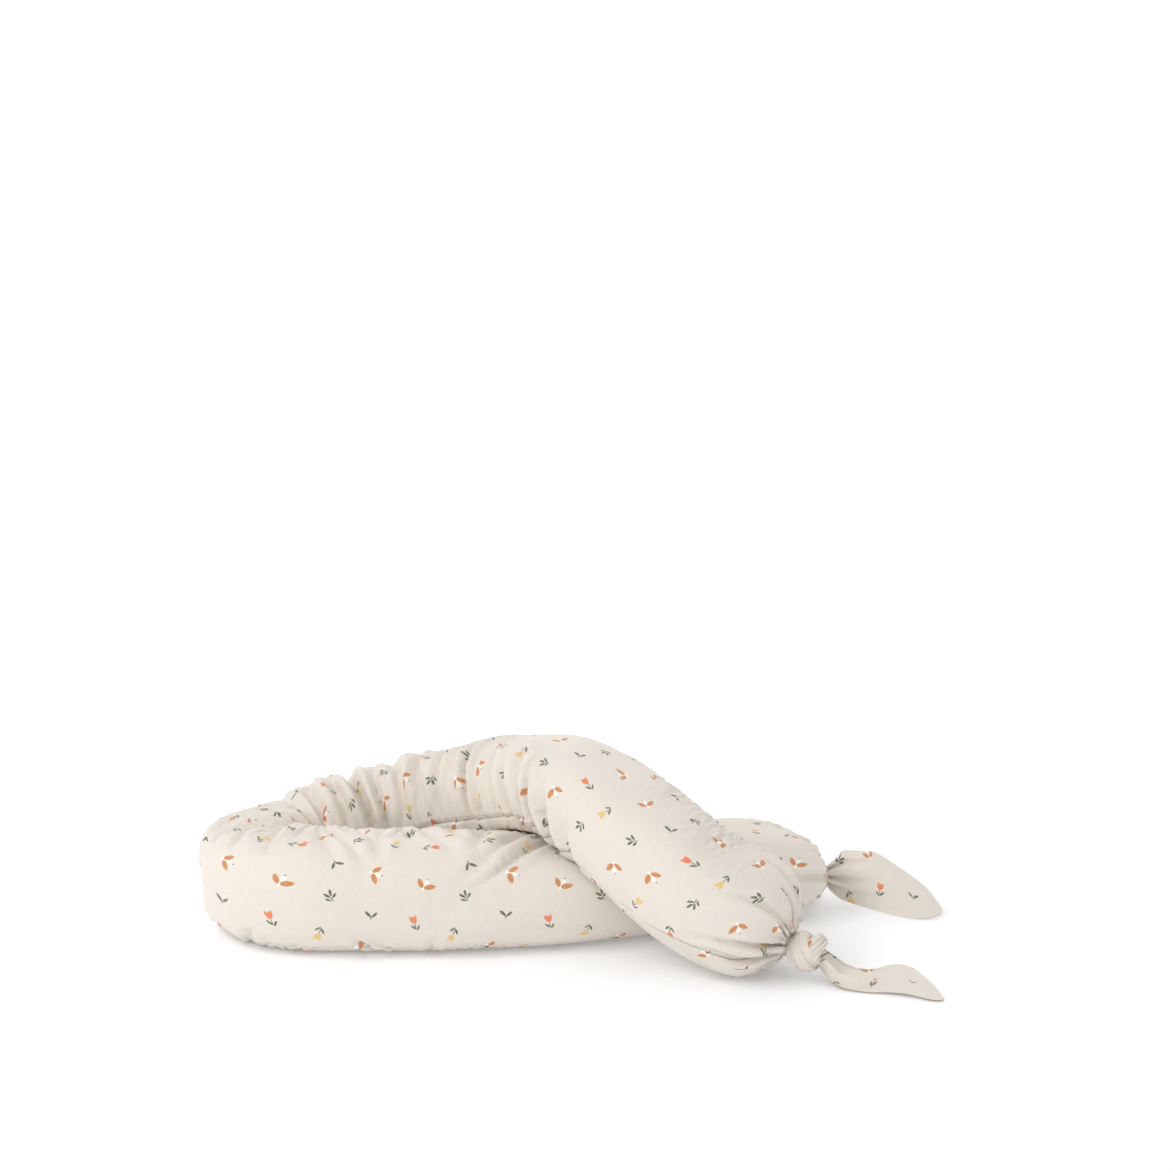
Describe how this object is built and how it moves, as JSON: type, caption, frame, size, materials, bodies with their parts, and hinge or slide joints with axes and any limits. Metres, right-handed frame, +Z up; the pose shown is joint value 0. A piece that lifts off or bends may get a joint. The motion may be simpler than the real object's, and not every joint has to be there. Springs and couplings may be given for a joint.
{
  "type": "nursing pillow",
  "caption": "Long stuffed cotton support pillow laid in a loop, its printed zip-off cover knotted at each end and ending in leaf-shaped tails.",
  "frame": {"origin": "on the surface the pillow rests on, under the middle of its bounding box", "axes": "+X along the laid loop, from the closed curl towards the two knots; +Y from the front wall of the loop towards its rear wall; +Z up"},
  "size_m": [1.0142, 0.5369, 0.2532],
  "materials": {
    "cover_cotton": "matte",
    "casing_cotton": "matte",
    "filling_fibre": "matte",
    "zip_tape": "matte",
    "zip_coil": "satin",
    "zip_metal": "satin"
  },
  "bodies": {
    "pillow": {"cover_upper_panel": "cover_cotton", "cover_lower_panel": "cover_cotton", "casing_upper_panel": "casing_cotton", "casing_lower_panel": "casing_cotton", "filling": "filling_fibre", "knot_a": "cover_cotton", "knot_b": "cover_cotton", "zip_tape_upper": "zip_tape", "zip_tape_lower": "zip_tape", "zip_coil_upper": "zip_coil", "zip_coil_lower": "zip_coil", "zip_stop_open_end": "zip_metal", "zip_stop_closed_end": "zip_metal"},
    "tail_a": {"tail_a_upper_layer": "cover_cotton", "tail_a_lower_layer": "cover_cotton"},
    "tail_b": {"tail_b_upper_layer": "cover_cotton", "tail_b_lower_layer": "cover_cotton"},
    "zip_slider": {"zip_slider": "zip_metal"},
    "zip_pull": {"zip_pull": "zip_metal"}
  },
  "joints": [
    {"name": "tail_a_swing", "type": "hinge", "parent": "pillow", "child": "tail_a", "pos_m": [0.357, 0.139, 0.035], "axis": [0, 0, 1], "range_deg": [-40, 50]},
    {"name": "tail_b_lift", "type": "hinge", "parent": "pillow", "child": "tail_b", "pos_m": [0.315, -0.188, 0.036], "axis": [-0.4813, -0.8766, 0], "range_deg": [0, 65]},
    {"name": "zip_travel", "type": "hinge", "parent": "pillow", "child": "zip_slider", "pos_m": [-0.25346, -0.06549, 0.1349], "axis": [-0.1874, 0.1051, 0.9766], "range_deg": [0, 49]},
    {"name": "zip_pull_flip", "type": "hinge", "parent": "zip_slider", "child": "zip_pull", "pos_m": [-0.11847, 0.24505, 0.1274], "axis": [0.1874, -0.1051, -0.9766], "range_deg": [0, 170]}
  ]
}
